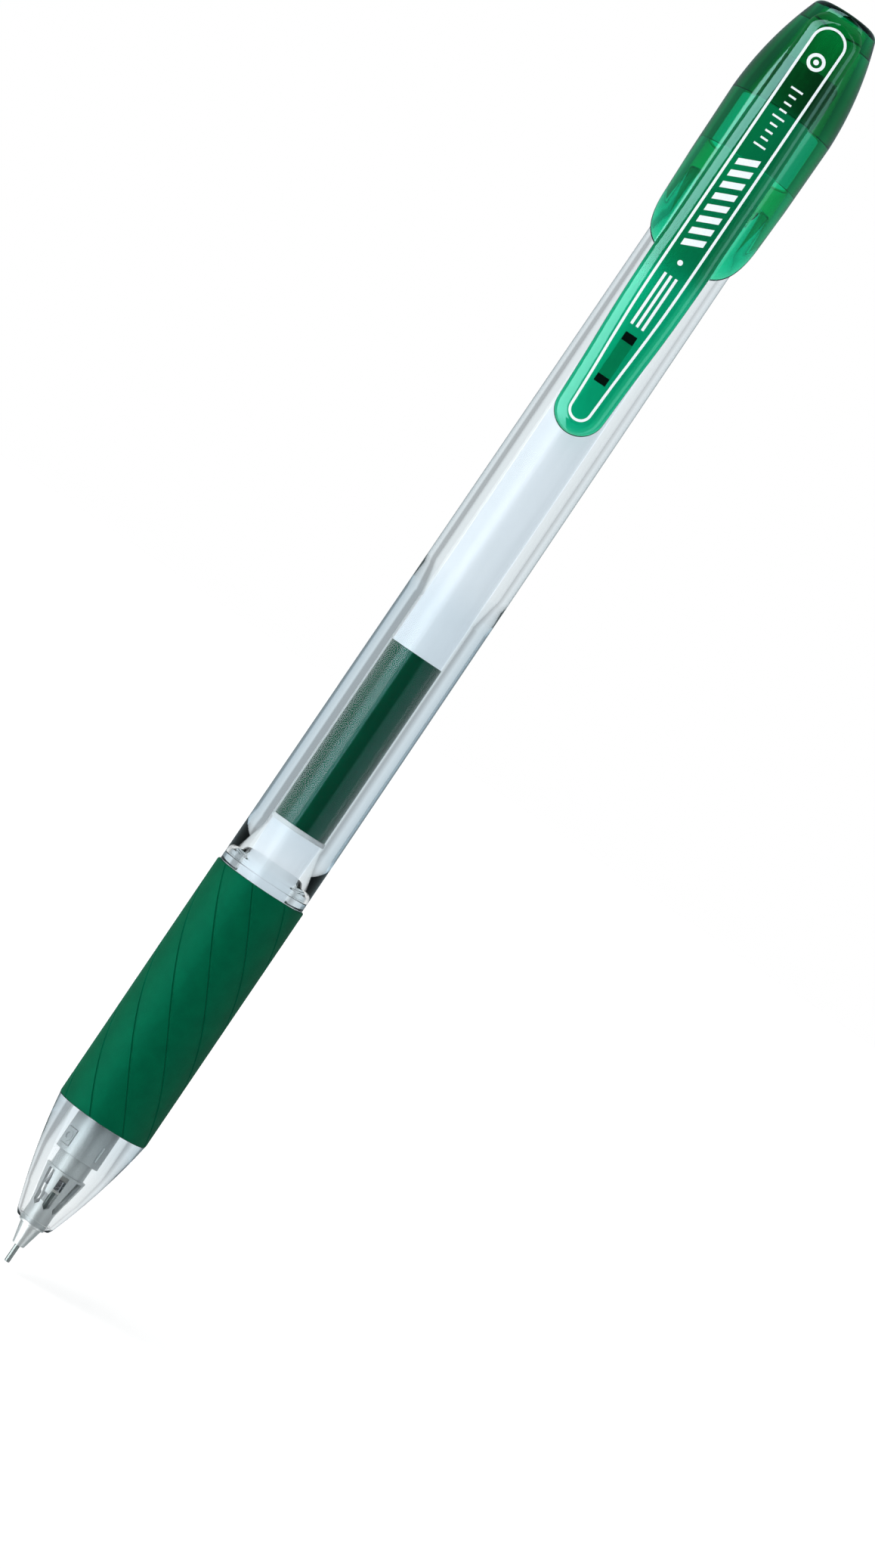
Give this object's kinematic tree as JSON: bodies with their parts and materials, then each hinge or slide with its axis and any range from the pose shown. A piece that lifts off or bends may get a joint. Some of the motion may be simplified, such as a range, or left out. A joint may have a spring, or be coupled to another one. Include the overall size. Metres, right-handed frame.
{
  "type": "push-button lead holder",
  "caption": "Slim push-button lead holder with a clear barrel and nose, ribbed green rubber grip, inner lead tube, and a translucent green crown with a pocket clip.",
  "frame": {"origin": "the writing point, at the end of the exposed lead on the barrel's axis", "axes": "+Z along the barrel's axis from the writing point to the crown; the pocket clip faces -Y; X runs across the clip"},
  "size_m": [0.0112, 0.0125, 0.146],
  "materials": {
    "clear_plastic": "clear polished injection moulding",
    "grip_rubber": "matte rubber with a soft sheen",
    "silver_moulding": "silver metallic-filled plastic",
    "dark_rubber": "matte",
    "chuck_resin": "smooth natural resin",
    "spring_steel": "bright drawn wire",
    "white_plastic": "satin white",
    "frosted_plastic": "frosted, slightly translucent",
    "dark_green_plastic": "glossy",
    "graphite": "dull grey sheen",
    "eraser_vinyl": "soft matte white",
    "translucent_green": "translucent tinted, polished"
  },
  "bodies": {
    "barrel": {"front_barrel": "clear_plastic", "grip": "grip_rubber", "rear_barrel": "clear_plastic", "tip_sleeve": "silver_moulding", "lead_retainer": "dark_rubber", "spring": "spring_steel"},
    "plunger": {"chuck": "chuck_resin", "chuck_holder": "white_plastic", "lead_tube": "frosted_plastic", "tube_collar": "white_plastic", "colour_sleeve": "dark_green_plastic", "spare_leads": "graphite", "eraser_holder": "frosted_plastic"},
    "ring": {"chuck_ring": "spring_steel"},
    "lead": {"lead": "graphite"},
    "crown": {"crown": "translucent_green"},
    "clip": {"clip_arm": "translucent_green"},
    "eraser": {"eraser": "eraser_vinyl"}
  },
  "joints": [
    {"name": "crown_push", "type": "slide", "parent": "barrel", "child": "plunger", "axis": [0, 0, -1], "range_m": [0, 0.0028], "stiffness_N_per_m": 300, "springref_m": -0.004, "deforming": ["spring"]},
    {"name": "ring_slide", "type": "slide", "parent": "barrel", "child": "ring", "axis": [0, 0, -1], "range_m": [0, 0.001]},
    {"name": "lead_feed", "type": "slide", "parent": "barrel", "child": "lead", "axis": [0, 0, -1], "range_m": [0, 0.0006]},
    {"name": "crown_draw", "type": "slide", "parent": "plunger", "child": "crown", "axis": [0, 0, 1], "range_m": [0, 0.03]},
    {"name": "eraser_draw", "type": "slide", "parent": "plunger", "child": "eraser", "axis": [0, 0, 1], "range_m": [0, 0.012]},
    {"name": "clip_flex", "type": "hinge", "parent": "crown", "child": "clip", "pos_m": [0, -0.0069, 0.1163], "axis": [-1, 0, 0], "range_deg": [0, 3], "stiffness_Nm_per_rad": 0.01}
  ],
  "couplings": [
    {"joint": "ring_slide", "follows": "crown_push", "ratio": 0.35},
    {"joint": "lead_feed", "follows": "crown_push", "ratio": 0.2},
    {"joint": "eraser_draw", "follows": "crown_draw", "ratio": 0.4}
  ]
}
